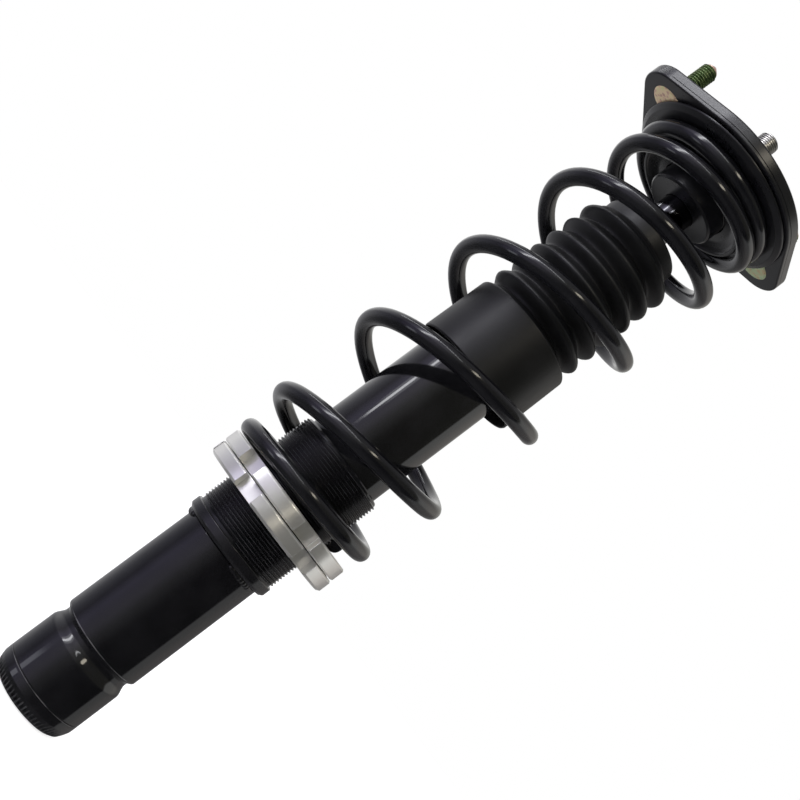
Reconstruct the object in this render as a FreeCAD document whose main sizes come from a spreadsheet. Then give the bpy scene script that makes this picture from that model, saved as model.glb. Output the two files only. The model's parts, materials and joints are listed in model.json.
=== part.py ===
import FreeCAD, Part
import math
import os
import Sketcher
from FreeCAD import Placement, Rotation, Vector

# Coilover strut for a car's front suspension, in millimetres. +Z runs up the damper's axis, from the
# centre of the strut tube's closed end at the origin to the threaded end of the piston rod.
# Screw-thread crests are plain cylinders here: radius = crest radius.

SIZES = {
    # strut tube and its closed end
    "tube_radius": 25.0, "tube_bore": 22.5, "tube_top": 285.0,
    "cap_top": 11.7, "cap_corner": 3.5, "cap_floor": 4.0, "spigot_radius": 22.45,
    "spigot_bore": 20.5, "spigot_top": 17.0,
    "groove_start": 34.8, "groove_low": 39.5, "groove_high": 41.3, "groove_end": 45.0,
    "groove_depth": 2.1, "clamp_top": 108.0, "upper_tube_radius": 24.6,
    # threaded sleeve welded round the tube
    "sleeve_bore": 24.63, "sleeve_base": 115.2, "sleeve_top": 186.5, "thread_radius": 28.0,
    "collar_radius": 28.7, "collar_top": 121.4, "sleeve_chamfer": 1.2,
    "bead_track": 26.2, "bead_radius": 1.55, "bead_arc": 44.0, "bead_turn": -75.0, "bead_gap": 0.05,
    # spanner rings
    "ring_radius": 43.5, "ring_bore": 28.06, "ring_depth": 8.0, "ring_chamfer": 0.9,
    "slot_floor": 38.0, "slot_half_width": 6.5, "slot_count": 6, "cut_overrun": 2.0,
    "lock_ring_base": 138.6, "seat_ring_base": 147.1, "lock_ring_turn": -53.4, "seat_ring_turn": -66.8,
    # coil spring
    "wire_radius": 4.7, "spring_base": 155.2, "spring_end_radius": 40.5, "spring_belly_radius": 47.3,
    "spring_bow": 1.7, "spring_pitch": 61.7, "spring_first": 36.0, "spring_last": 2440.0,
    "rise_starts": 130.0, "rise_full": 750.0, "fall_starts": 1500.0, "fall_ends": 2407.0,
    "belly_starts": 300.0, "belly_full": 760.0, "belly_falls": 1500.0, "belly_ends": 2180.0,
    # damper: pressure tube, base valve, piston and rod
    "pressure_bore": 16.0, "pressure_radius": 17.5, "valve_seat": 14.0, "valve_top": 22.0,
    "slip_radius": 15.95, "port_radius": 1.6, "valve_port_track": 9.5, "shim_depth": 0.8,
    "guide_base": 254.0, "guide_seat": 262.0, "guide_top": 276.0, "guide_bore": 12.0,
    "bush_bore": 10.05, "seal_top": 280.0, "gland_bore": 10.6,
    "rod_radius": 10.0, "rod_end_radius": 6.0, "rod_bottom": 193.0, "rod_piston_seat": 218.0,
    "rod_shoulder": 418.0, "rod_tip": 469.5, "rod_chamfer": 1.2,
    "stop_base": 220.0, "stop_top": 226.0, "stop_radius": 14.0, "piston_port_track": 11.5,
    "piston_base": 204.0, "piston_radius": 15.7, "band_base": 207.0, "band_top": 215.0,
    "band_bore": 15.0, "piston_nut_depth": 8.0, "piston_nut_corner": 10.4, "piston_shim_radius": 13.0,
    # bump stop and dust boot, both carried by the rod
    "bump_base": 349.6, "bump_top": 377.4, "bump_radius": 21.5, "bump_waist": 16.5, "bump_taper": 4.0,
    "bump_first_waist": 11.0, "bump_waist_pitch": 9.0, "bump_waist_half": 3.0,
    "skirt_base": 262.0, "skirt_top": 298.5, "skirt_radius": 32.8, "skirt_neck": 32.4, "boot_wall": 1.2,
    "fold_first": 307.6, "fold_pitch": 11.45, "fold_peak": 31.8, "fold_root": 28.4, "fold_half": 1.6,
    "boot_crown_base": 370.0, "boot_crown_top": 379.0, "boot_crown_radius": 24.6, "boot_hole": 10.2,
    # upper spring perch and its thrust bearing
    "pilot_radius": 35.0, "pilot_base": 412.5, "pilot_bore": 33.2, "shelf_base": 414.5,
    "shelf_top": 417.0, "shelf_bore": 24.0, "perch_seat": 424.0, "perch_top": 427.0,
    "perch_radius": 51.5, "perch_edge": 3.0, "race_bore": 25.0, "race_radius": 33.0, "race_depth": 3.0,
    "ball_radius": 2.0, "ball_track": 29.0, "ball_height": 421.5, "ball_count": 18,
    "raceway_half": 1.4, "raceway_depth": 1.0, "cage_bore": 26.5, "cage_radius": 31.5,
    "cage_base": 420.9, "cage_depth": 1.2, "cage_hole": 2.12,
    # top mount: flange plate, rubber, neck, sleeve, studs and nut
    "plate_base": 427.5, "plate_depth": 7.6, "disc_radius": 53.5, "lobe_radius": 17.75,
    "stud_track": 50.0, "plate_bore": 28.0, "plate_turn": 18.6, "plate_chamfer": 1.0,
    "neck_base": 405.0, "neck_radius": 21.6, "neck_top": 427.4, "neck_floor": 420.0,
    "sleeve_radius": 13.0, "cup_bore": 13.2, "bolt_bore": 6.1, "inner_sleeve_top": 435.6,
    "rubber_top": 434.4, "rubber_crown": 435.2, "rubber_shoulder": 24.0,
    "washer_radius": 17.0, "washer_top": 438.0, "nut_corner": 10.97, "nut_top": 448.0,
    "stud_radius": 5.0, "stud_shoulder_radius": 5.6, "stud_head_radius": 10.3, "stud_head_depth": 3.0,
    "stud_thread_top": 456.5, "stud_tip_top": 459.5, "stud_tip_radius": 3.4,
}

SPRING_POINTS_PER_TURN = 16
BEADS = 3
FOLDS = 6
BUMP_WAISTS = 2
TOUCH = 0.1
FULL_TURN = 360.0

doc = FreeCAD.newDocument("coilover")
sheet = doc.addObject("Spreadsheet::Sheet", "Sizes")
for row, (alias, number) in enumerate(SIZES.items(), start=1):
    sheet.set("A%d" % row, alias)
    sheet.set("B%d" % row, str(number))
    sheet.setAlias("B%d" % row, alias)
doc.recompute()


def value(formula):
    """The number that a sum of named sizes and products comes to."""
    total = 0.0
    for term in formula.replace(" - ", " + -").split(" + "):
        product = -1.0 if term.startswith("-") else 1.0
        for word in term.lstrip("-").split(" * "):
            product *= SIZES[word] if word in SIZES else float(word)
        total += product
    return total


def bound(formula):
    """The same sum as an expression that reads the spreadsheet."""
    return " ".join("Sizes." + word if word in SIZES else word for word in formula.split())


def bind(piece, **formulas):
    """Tie properties of a piece to the spreadsheet; two underscores stand for a dot."""
    for name, formula in formulas.items():
        piece.setExpression(name.replace("__", "."), bound(formula))


def body_of(label):
    body = doc.addObject("PartDesign::Body", label)
    body.Label = label
    return body


def sketch_on(body, role, name):
    plane = next(item for item in body.Origin.OriginFeatures if item.Role == role)
    sketch = body.newObject("Sketcher::SketchObject", name)
    sketch.AttachmentSupport = [(plane, "")]
    sketch.MapMode = "FlatFace"
    return sketch


def place_point(sketch, shape_index, point_index, across, up):
    """Fix one point of a sketch at two spreadsheet formulas."""
    for kind, formula in (("DistanceX", across), ("DistanceY", up)):
        rule = Sketcher.Constraint(kind, -1, 1, shape_index, point_index, value(formula))
        index = sketch.addConstraint(rule)
        sketch.setExpression("Constraints[%d]" % index, bound(formula))


def draw_outline(sketch, corners):
    """A closed outline of straight sides through corners given as formulas."""
    points = [Vector(value(across), value(up), 0) for across, up in corners]
    count = len(points)
    for index, point in enumerate(points):
        sketch.addGeometry(Part.LineSegment(point, points[(index + 1) % count]), False)
    for index in range(count):
        sketch.addConstraint(Sketcher.Constraint("Coincident", index, 2, (index + 1) % count, 1))
    for index, (across, up) in enumerate(corners):
        place_point(sketch, index, 1, across, up)


def turned(label, corners):
    """A body of revolution about Z from an outline of (radius, height) formulas."""
    body = body_of(label)
    sketch = sketch_on(body, "XZ_Plane", label + "_profile")
    draw_outline(sketch, corners)
    turn = body.newObject("PartDesign::Revolution", label + "_turn")
    turn.Profile = sketch
    turn.ReferenceAxis = (sketch, ["V_Axis"])
    turn.Angle = FULL_TURN
    body.Tip = turn
    return body


def tube_corners(bore, radius, base, top):
    return [(bore, base), (radius, base), (radius, top), (bore, top)]


def cut_through(body, name, draw, count_alias):
    """Cut a shape drawn on XY right through a body and repeat it round Z."""
    doc.recompute()
    before = body.Shape.Volume
    sketch = sketch_on(body, "XY_Plane", name + "_profile")
    draw(sketch)
    pocket = body.newObject("PartDesign::Pocket", name)
    pocket.Profile = sketch
    pocket.Type = 1
    pocket.Midplane = True
    pattern = body.newObject("PartDesign::PolarPattern", name + "_pattern")
    pattern.Originals = [pocket]
    pattern.Axis = (sketch, ["N_Axis"])
    pattern.Angle = FULL_TURN
    bind(pattern, Occurrences=count_alias)
    body.Tip = pattern
    doc.recompute()
    if body.Shape.Volume >= before:
        raise RuntimeError(name + " removed nothing")


def round_hole(track, radius):
    """A drawing function: one circle on the X axis at a given track radius."""
    def draw(sketch):
        circle = Part.Circle(Vector(value(track), 0, 0), Vector(0, 0, 1), value(radius))
        sketch.addGeometry(circle, False)
        place_point(sketch, 0, 3, track, "0")
        index = sketch.addConstraint(Sketcher.Constraint("Radius", 0, value(radius)))
        sketch.setExpression("Constraints[%d]" % index, bound(radius))
    return draw


def group(label, pieces):
    """Several separate solids under one name."""
    compound = doc.addObject("Part::Compound", label)
    compound.Label = label
    compound.Links = pieces
    return compound


def level_edges(shape, height):
    """Names of a shape's edges that lie level at one height."""
    names = []
    for number, edge in enumerate(shape.Edges, start=1):
        low, high = edge.BoundBox.ZMin, edge.BoundBox.ZMax
        if abs(low - height) < TOUCH and abs(high - height) < TOUCH:
            names.append("Edge%d" % number)
    return names


def strut_tube():
    """Steel tube with a rolled groove that keys it in the knuckle's clamp, turned down above it."""
    bore_in_groove = "tube_bore - groove_depth"
    return turned("strut_tube", [
        ("tube_bore", "cap_top"), ("tube_radius", "cap_top"), ("tube_radius", "groove_start"),
        ("tube_radius - groove_depth", "groove_low"), ("tube_radius - groove_depth", "groove_high"),
        ("tube_radius", "groove_end"), ("tube_radius", "clamp_top"), ("upper_tube_radius", "clamp_top"),
        ("upper_tube_radius", "tube_top"), ("tube_bore", "tube_top"),
        ("tube_bore", "groove_end"), (bore_in_groove, "groove_high"), (bore_in_groove, "groove_low"),
        ("tube_bore", "groove_start")])


def base_cap():
    """Pressed cap with a rounded rim and a spigot inside the tube."""
    body = turned("base_cap", [
        ("0", "0"), ("tube_radius", "0"), ("tube_radius", "cap_top"), ("spigot_radius", "cap_top"),
        ("spigot_radius", "spigot_top"), ("spigot_bore", "spigot_top"), ("spigot_bore", "cap_floor"),
        ("0", "cap_floor")])
    doc.recompute()
    sharp = body.Tip
    fillet = body.newObject("PartDesign::Fillet", "base_cap_rim")
    fillet.Base = (sharp, level_edges(sharp.Shape, 0.0))
    bind(fillet, Radius="cap_corner")
    body.Tip = fillet
    return body


def threaded_sleeve():
    return turned("threaded_sleeve", [
        ("sleeve_bore", "sleeve_base"), ("collar_radius - sleeve_chamfer", "sleeve_base"),
        ("collar_radius", "sleeve_base + sleeve_chamfer"), ("collar_radius", "collar_top"),
        ("thread_radius", "collar_top"), ("thread_radius", "sleeve_top - sleeve_chamfer"),
        ("thread_radius - sleeve_chamfer", "sleeve_top"), ("sleeve_bore", "sleeve_top")])


def weld_beads():
    """Short welds under the sleeve's collar."""
    height = "sleeve_base - bead_radius - bead_gap"
    beads = []
    for number in range(BEADS):
        bead = doc.addObject("Part::Torus", "weld_bead_%d" % (number + 1))
        bind(bead, Radius1="bead_track", Radius2="bead_radius", Angle3="bead_arc")
        turn = Rotation(Vector(0, 0, 1), number * FULL_TURN / BEADS + value("bead_turn"))
        bead.Placement = Placement(Vector(0, 0, value(height)), turn)
        bind(bead, Placement__Base__z=height)
        beads.append(bead)
    return group("weld_beads", beads)


def spanner_ring(label, base, turn):
    """Internally threaded ring with slots for a C-spanner round its rim."""
    body = turned(label, [
        ("ring_bore", "0"), ("ring_radius - ring_chamfer", "0"), ("ring_radius", "ring_chamfer"),
        ("ring_radius", "ring_depth - ring_chamfer"), ("ring_radius - ring_chamfer", "ring_depth"),
        ("ring_bore", "ring_depth")])

    def slot(sketch):
        draw_outline(sketch, [
            ("slot_floor", "-1 * slot_half_width"), ("ring_radius + cut_overrun", "-1 * slot_half_width"),
            ("ring_radius + cut_overrun", "slot_half_width"), ("slot_floor", "slot_half_width")])
    cut_through(body, label + "_slot", slot, "slot_count")
    body.Placement = Placement(Vector(0, 0, value(base)), Rotation(Vector(0, 0, 1), value(turn)))
    bind(body, Placement__Base__z=base)
    return body


def ramp(angle, start, full):
    """0 before start, 1 after full, straight between."""
    return min(max((angle - start) / (full - start), 0.0), 1.0)


def smooth(share):
    return share * share * (3 - 2 * share)


def ramp_area(angle, start, full):
    """The area under ramp() from the left up to an angle."""
    if angle <= start:
        return 0.0
    if angle >= full:
        return angle - (start + full) / 2
    return (angle - start) ** 2 / (2 * (full - start))


def spring_point(angle):
    """Centre of the wire after a right-hand turn of so many degrees from +X."""
    rise = ramp_area(angle, SIZES["rise_starts"], SIZES["rise_full"])
    rise -= ramp_area(angle, SIZES["fall_starts"], SIZES["fall_ends"])
    height = value("spring_base + wire_radius") + SIZES["spring_pitch"] * rise / FULL_TURN
    belly = smooth(ramp(angle, SIZES["belly_starts"], SIZES["belly_full"]))
    belly *= 1 - smooth(ramp(angle, SIZES["belly_falls"], SIZES["belly_ends"]))
    radius = SIZES["spring_end_radius"] + belly * value("spring_belly_radius - spring_end_radius")
    turn = math.radians(angle)
    bow = SIZES["spring_bow"] * belly
    return Vector(radius * math.cos(turn) - bow, radius * math.sin(turn), height)


def coil_spring():
    """Barrel-shaped right-hand compression spring with closed ends, swept along a fair curve."""
    first, last = SIZES["spring_first"], SIZES["spring_last"]
    steps = round((last - first) / FULL_TURN * SPRING_POINTS_PER_TURN)
    points = [spring_point(first + (last - first) * step / steps) for step in range(steps + 1)]
    curve = Part.BSplineCurve()
    curve.interpolate(points)
    path = Part.Wire([curve.toShape()])
    start = curve.value(curve.FirstParameter)
    section = Part.Wire([Part.Circle(start, curve.tangent(curve.FirstParameter)[0],
                                     SIZES["wire_radius"]).toShape()])
    sweep = Part.BRepOffsetAPI.MakePipeShell(path)
    sweep.setFrenetMode(True)
    sweep.add(section)
    sweep.build()
    sweep.makeSolid()
    solid = sweep.shape()
    ideal = math.pi * SIZES["wire_radius"] ** 2 * curve.length()
    print("spring volume against section times length: %.4f" % (solid.Volume / ideal))
    print("spring top of wire %.2f" % solid.BoundBox.ZMax)
    spring = doc.addObject("Part::Feature", "coil_spring")
    spring.Label = "coil_spring"
    spring.Shape = solid
    spring.Placement = Placement()
    return spring


def pressure_tube():
    return turned("pressure_tube", tube_corners(
        "pressure_bore", "pressure_radius", "valve_seat", "guide_seat"))


def base_valve():
    body = turned("base_valve", [
        ("0", "cap_floor"), ("pressure_radius", "cap_floor"), ("pressure_radius", "valve_seat"),
        ("slip_radius", "valve_seat"), ("slip_radius", "valve_top"), ("0", "valve_top")])
    cut_through(body, "base_valve_port", round_hole("valve_port_track", "port_radius"), "slot_count")
    return body


def base_valve_shim():
    return turned("base_valve_shim", [
        ("0", "valve_top"), ("piston_shim_radius", "valve_top"),
        ("piston_shim_radius", "valve_top + shim_depth"), ("0", "valve_top + shim_depth")])


def rod_guide():
    return turned("rod_guide", [
        ("guide_bore", "guide_base"), ("slip_radius", "guide_base"), ("slip_radius", "guide_seat"),
        ("spigot_radius", "guide_seat"), ("spigot_radius", "guide_top"), ("guide_bore", "guide_top")])


def guide_bush():
    return turned("guide_bush", tube_corners("bush_bore", "guide_bore", "guide_base", "guide_top"))


def rod_seal():
    return turned("rod_seal", tube_corners("bush_bore", "spigot_radius", "guide_top", "seal_top"))


def gland_nut():
    return turned("gland_nut", tube_corners("gland_bore", "spigot_radius", "seal_top", "tube_top"))


def piston_rod():
    return turned("piston_rod", [
        ("0", "rod_bottom"), ("rod_end_radius - rod_chamfer", "rod_bottom"),
        ("rod_end_radius", "rod_bottom + rod_chamfer"), ("rod_end_radius", "rod_piston_seat"),
        ("rod_radius", "rod_piston_seat"), ("rod_radius", "rod_shoulder"), ("rod_end_radius", "rod_shoulder"),
        ("rod_end_radius", "rod_tip - rod_chamfer"), ("rod_end_radius - rod_chamfer", "rod_tip"),
        ("0", "rod_tip")])


def rebound_stop():
    return turned("rebound_stop", tube_corners("rod_radius", "stop_radius", "stop_base", "stop_top"))


def piston():
    body = turned("piston", [
        ("rod_end_radius", "piston_base"), ("piston_radius", "piston_base"), ("piston_radius", "band_base"),
        ("band_bore", "band_base"), ("band_bore", "band_top"), ("piston_radius", "band_top"),
        ("piston_radius", "rod_piston_seat"), ("rod_end_radius", "rod_piston_seat")])
    cut_through(body, "piston_port", round_hole("piston_port_track", "port_radius"), "slot_count")
    return body


def piston_band():
    return turned("piston_band", tube_corners("band_bore", "slip_radius", "band_base", "band_top"))


def piston_shims():
    return turned("piston_shims", tube_corners(
        "rod_end_radius", "piston_shim_radius", "piston_base - 2 * shim_depth", "piston_base"))


def hex_nut(label, corner, bore, base, depth):
    """Hexagon prism with a plain bore at the thread's crest radius."""
    hexagon = doc.addObject("Part::Prism", label + "_hexagon")
    hexagon.Polygon = 6
    bind(hexagon, Circumradius=corner, Height=depth)
    hexagon.Placement.Base.z = value(base)
    bind(hexagon, Placement__Base__z=base)
    hole = doc.addObject("Part::Cylinder", label + "_bore")
    bind(hole, Radius=bore, Height="rod_tip")
    nut = doc.addObject("Part::Cut", label)
    nut.Label = label
    nut.Base = hexagon
    nut.Tool = hole
    return nut


def bump_stop():
    """Foam stop with waists round it, gripped on the rod inside the boot's crown."""
    corners = [("bush_bore", "bump_base"), ("bump_waist", "bump_base"),
               ("bump_radius", "bump_base + bump_taper")]
    for number in range(BUMP_WAISTS):
        centre = "bump_base + bump_first_waist + %d * bump_waist_pitch" % number
        corners.append(("bump_radius", centre + " - bump_waist_half"))
        corners.append(("bump_waist", centre))
        corners.append(("bump_radius", centre + " + bump_waist_half"))
    corners.append(("bump_radius", "bump_top"))
    corners.append(("bush_bore", "bump_top"))
    return turned("bump_stop", corners)


def dust_boot():
    """Moulded boot: a plain skirt over the tube, a bellows and a closed crown round the rod."""
    outside = [("skirt_radius", "skirt_base"), ("skirt_neck", "skirt_top")]
    for fold in range(FOLDS):
        centre = "fold_first + %d * fold_pitch" % fold
        outside.append(("fold_root", centre + " - 0.5 * fold_pitch"))
        outside.append(("fold_peak", centre + " - fold_half"))
        outside.append(("fold_peak", centre + " + fold_half"))
    outside.append(("boot_crown_radius", "boot_crown_base"))
    outside.append(("boot_crown_radius", "boot_crown_top"))
    inside = [(radius + " - boot_wall", height) for radius, height in outside]
    inside[-1] = ("boot_crown_radius - boot_wall", "boot_crown_top - boot_wall")
    outside.append(("boot_hole", "boot_crown_top"))
    inside.append(("boot_hole", "boot_crown_top - boot_wall"))
    return turned("dust_boot", outside + inside[::-1])


def upper_perch():
    """Pressed spring seat with a pilot that centres the coil and a shelf for the bearing."""
    return turned("upper_perch", [
        ("shelf_bore", "shelf_base"), ("pilot_bore", "shelf_base"), ("pilot_bore", "pilot_base"),
        ("pilot_radius", "pilot_base"), ("pilot_radius", "perch_seat"),
        ("perch_radius - perch_edge", "perch_seat"), ("perch_radius", "perch_top"),
        ("pilot_bore", "perch_top"), ("pilot_bore", "shelf_top"),
        ("shelf_bore", "shelf_top")])


def bearing_lower_race():
    top = "shelf_top + race_depth"
    return turned("bearing_lower_race", [
        ("race_bore", "shelf_top"), ("race_radius", "shelf_top"), ("race_radius", top),
        ("ball_track + raceway_half", top), ("ball_track", top + " - raceway_depth"),
        ("ball_track - raceway_half", top), ("race_bore", top)])


def bearing_upper_race():
    base = "shelf_top + 2 * race_depth"
    return turned("bearing_upper_race", [
        ("race_bore", base), ("ball_track - raceway_half", base), ("ball_track", base + " + raceway_depth"),
        ("ball_track + raceway_half", base), ("race_radius", base), ("race_radius", "plate_base"),
        ("race_bore", "plate_base")])


def ball_cage():
    body = turned("ball_cage", tube_corners(
        "cage_bore", "cage_radius", "cage_base", "cage_base + cage_depth"))
    cut_through(body, "ball_cage_hole", round_hole("ball_track", "cage_hole"), "ball_count")
    return body


def bearing_balls():
    balls = []
    for number in range(SIZES["ball_count"]):
        ball = doc.addObject("Part::Sphere", "bearing_ball_%d" % (number + 1))
        bind(ball, Radius="ball_radius", Placement__Base__z="ball_height")
        around = "%d * 360 / Sizes.ball_count" % number
        ball.setExpression("Placement.Base.x", "Sizes.ball_track * cos(%s)" % around)
        ball.setExpression("Placement.Base.y", "Sizes.ball_track * sin(%s)" % around)
        balls.append(ball)
    return group("bearing_balls", balls)


def flange_outline(sketch):
    """A disc joined by tangent sides to a small lobe at each end of the X axis."""
    disc, lobe, track = SIZES["disc_radius"], SIZES["lobe_radius"], SIZES["stud_track"]
    lean = math.acos((disc - lobe) / track)
    up = Vector(0, 0, 1)
    centres = (Vector(track, 0, 0), Vector(0, 0, 0), Vector(-track, 0, 0), Vector(0, 0, 0))
    radii = (lobe, disc, lobe, disc)
    spans = ((-lean, lean), (lean, math.pi - lean), (math.pi - lean, math.pi + lean),
             (math.pi + lean, 2 * math.pi - lean))
    arcs = [Part.ArcOfCircle(Part.Circle(centre, up, radius), start, end)
            for centre, radius, (start, end) in zip(centres, radii, spans)]
    for number, arc in enumerate(arcs):
        following = arcs[(number + 1) % len(arcs)]
        sketch.addGeometry(arc, False)
        sketch.addGeometry(Part.LineSegment(arc.EndPoint, following.StartPoint), False)
    sides = 2 * len(arcs)
    for number in range(0, sides, 2):
        sketch.addConstraint(Sketcher.Constraint("Tangent", number, 2, number + 1, 1))
        sketch.addConstraint(Sketcher.Constraint("Tangent", number + 1, 2, (number + 2) % sides, 1))
    for number, across in ((0, "stud_track"), (2, "0"), (4, "-1 * stud_track"), (6, "0")):
        place_point(sketch, number, 3, across, "0")
    for number, radius in ((0, "lobe_radius"), (2, "disc_radius"), (4, "lobe_radius"), (6, "disc_radius")):
        index = sketch.addConstraint(Sketcher.Constraint("Radius", number, value(radius)))
        sketch.setExpression("Constraints[%d]" % index, bound(radius))


def mount_plate():
    """Two-lobe flange with a bore for the rubber and counterbored holes for the studs."""
    body = body_of("mount_plate")
    sketch = sketch_on(body, "XY_Plane", "flange_profile")
    flange_outline(sketch)
    pad = body.newObject("PartDesign::Pad", "flange")
    pad.Profile = sketch
    bind(pad, Length="plate_depth")
    body.Tip = pad
    doc.recompute()
    chamfer = body.newObject("PartDesign::Chamfer", "flange_top_edge")
    chamfer.Base = (pad, level_edges(pad.Shape, SIZES["plate_depth"]))
    bind(chamfer, Size="plate_chamfer")
    body.Tip = chamfer
    doc.recompute()
    for name, track, radius, depth in (
            ("rubber_bore", "0", "plate_bore", "plate_depth + cut_overrun"),
            ("stud_hole", "stud_track", "stud_shoulder_radius", "plate_depth + cut_overrun"),
            ("stud_hole_far", "-1 * stud_track", "stud_shoulder_radius", "plate_depth + cut_overrun"),
            ("stud_counterbore", "stud_track", "stud_head_radius", "stud_head_depth"),
            ("stud_counterbore_far", "-1 * stud_track", "stud_head_radius", "stud_head_depth")):
        before = body.Shape.Volume
        hole = sketch_on(body, "XY_Plane", name + "_profile")
        round_hole(track, radius)(hole)
        pocket = body.newObject("PartDesign::Pocket", name)
        pocket.Profile = hole
        pocket.Reversed = True
        bind(pocket, Length=depth)
        body.Tip = pocket
        doc.recompute()
        if body.Shape.Volume >= before:
            raise RuntimeError(name + " removed nothing")
    turn = Rotation(Vector(0, 0, 1), value("plate_turn"))
    body.Placement = Placement(Vector(0, 0, value("plate_base")), turn)
    bind(body, Placement__Base__z="plate_base")
    return body


def mount_studs():
    """Two pressed-in studs: a head flush with the underside, a shoulder, a shank and a pointed tip."""
    studs = []
    for number, side in enumerate((0.0, math.pi), start=1):
        around = math.radians(value("plate_turn")) + side
        track = SIZES["stud_track"]
        spot = Vector(track * math.cos(around), track * math.sin(around), value("plate_base"))
        head = doc.addObject("Part::Cylinder", "stud_head_%d" % number)
        bind(head, Radius="stud_head_radius", Height="stud_head_depth")
        shoulder = doc.addObject("Part::Cylinder", "stud_shoulder_%d" % number)
        bind(shoulder, Radius="stud_shoulder_radius", Height="plate_depth")
        shank = doc.addObject("Part::Cylinder", "stud_shank_%d" % number)
        bind(shank, Radius="stud_radius", Height="stud_thread_top - plate_base")
        tip = doc.addObject("Part::Cone", "stud_tip_%d" % number)
        bind(tip, Radius1="stud_radius", Radius2="stud_tip_radius", Height="stud_tip_top - stud_thread_top")
        for piece in (head, shoulder, shank):
            piece.Placement.Base = spot
        tip.Placement.Base = Vector(spot.x, spot.y, value("stud_thread_top"))
        stud = doc.addObject("Part::MultiFuse", "mount_stud_%d" % number)
        stud.Shapes = [head, shoulder, shank, tip]
        stud.Refine = True
        studs.append(stud)
    return group("mount_studs", studs)


def mount_rubber():
    return turned("mount_rubber", [
        ("sleeve_radius", "plate_base"), ("plate_bore", "plate_base"), ("plate_bore", "rubber_top"),
        ("rubber_shoulder", "rubber_crown"), ("sleeve_radius", "rubber_crown")])


def mount_neck():
    """Cup under the rubber that stands on the rod's shoulder."""
    return turned("mount_neck", [
        ("bush_bore", "neck_base"), ("neck_radius", "neck_base"), ("neck_radius", "neck_top"),
        ("cup_bore", "neck_top"), ("cup_bore", "neck_floor"), ("bolt_bore", "neck_floor"),
        ("bolt_bore", "rod_shoulder"), ("bush_bore", "rod_shoulder")])


def mount_sleeve():
    return turned("mount_sleeve", tube_corners(
        "bolt_bore", "sleeve_radius", "neck_floor", "inner_sleeve_top"))


def top_washer():
    return turned("top_washer", tube_corners("bolt_bore", "washer_radius", "inner_sleeve_top", "washer_top"))


def main():
    pieces = [
        strut_tube(), base_cap(), threaded_sleeve(), weld_beads(),
        pressure_tube(), base_valve(), base_valve_shim(), rod_guide(), guide_bush(), rod_seal(), gland_nut(),
        spanner_ring("seat_ring", "seat_ring_base", "seat_ring_turn"),
        spanner_ring("lock_ring", "lock_ring_base", "lock_ring_turn"),
        coil_spring(),
        piston_rod(), rebound_stop(), piston(), piston_band(), piston_shims(),
        hex_nut("piston_nut", "piston_nut_corner", "rod_end_radius",
                "piston_base - 2 * shim_depth - piston_nut_depth", "piston_nut_depth"),
        bump_stop(), dust_boot(),
        upper_perch(), bearing_lower_race(), bearing_upper_race(), ball_cage(), bearing_balls(),
        mount_plate(), mount_studs(), mount_rubber(), mount_neck(), mount_sleeve(), top_washer(),
        hex_nut("rod_nut", "nut_corner", "rod_end_radius", "washer_top", "nut_top - washer_top"),
    ]
    doc.recompute()
    for item in doc.Objects:
        if "Invalid" in item.State or "Error" in item.State:
            raise RuntimeError("%s is %s" % (item.Name, item.State))
    for piece in pieces:
        if piece.Shape.isNull() or not piece.Shape.isValid() or not piece.Shape.Solids:
            raise RuntimeError(piece.Label + " has a bad shape")
    os.makedirs("parts", exist_ok=True)
    for piece in pieces:
        piece.Shape.exportStep("parts/%s.step" % piece.Label)
        box = piece.Shape.BoundBox
        print("%-20s %d solid(s) %9.0f mm3  z %.2f to %.2f" % (
            piece.Label, len(piece.Shape.Solids), piece.Shape.Volume, box.ZMin, box.ZMax))


main()
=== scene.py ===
import json
import math

import bmesh
import bpy
import numpy as np
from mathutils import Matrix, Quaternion, Vector


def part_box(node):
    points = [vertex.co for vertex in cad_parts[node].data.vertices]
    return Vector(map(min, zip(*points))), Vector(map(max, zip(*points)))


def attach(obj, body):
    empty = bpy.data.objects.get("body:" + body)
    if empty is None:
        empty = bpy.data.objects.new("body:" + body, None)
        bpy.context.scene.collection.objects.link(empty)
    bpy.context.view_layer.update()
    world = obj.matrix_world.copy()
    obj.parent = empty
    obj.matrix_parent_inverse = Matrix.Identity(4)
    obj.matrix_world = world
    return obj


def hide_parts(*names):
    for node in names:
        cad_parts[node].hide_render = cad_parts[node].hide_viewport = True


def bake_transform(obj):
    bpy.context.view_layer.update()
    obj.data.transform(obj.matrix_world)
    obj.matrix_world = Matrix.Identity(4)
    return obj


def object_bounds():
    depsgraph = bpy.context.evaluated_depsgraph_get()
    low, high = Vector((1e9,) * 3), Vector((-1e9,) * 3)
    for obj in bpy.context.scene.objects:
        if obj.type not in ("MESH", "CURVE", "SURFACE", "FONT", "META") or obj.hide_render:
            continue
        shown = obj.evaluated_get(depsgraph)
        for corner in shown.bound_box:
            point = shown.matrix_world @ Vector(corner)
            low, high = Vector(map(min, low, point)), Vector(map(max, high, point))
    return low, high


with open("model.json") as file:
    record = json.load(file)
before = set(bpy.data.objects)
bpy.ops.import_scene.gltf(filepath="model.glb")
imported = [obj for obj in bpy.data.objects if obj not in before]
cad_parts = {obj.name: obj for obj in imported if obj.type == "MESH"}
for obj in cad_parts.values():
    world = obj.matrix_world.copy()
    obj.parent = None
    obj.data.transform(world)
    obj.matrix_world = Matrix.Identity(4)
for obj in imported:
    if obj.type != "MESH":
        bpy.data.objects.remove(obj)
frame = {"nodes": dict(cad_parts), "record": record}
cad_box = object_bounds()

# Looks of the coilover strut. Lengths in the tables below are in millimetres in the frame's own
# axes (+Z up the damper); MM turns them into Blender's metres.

MM = 0.001
TAU = 2 * math.pi
ROUND_STEPS = 144
FINE_ROUND_STEPS = 192
HOLE_STEPS = 72
SMOOTH_BELOW = math.radians(32)
WELD_WITHIN = 0.0005
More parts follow.
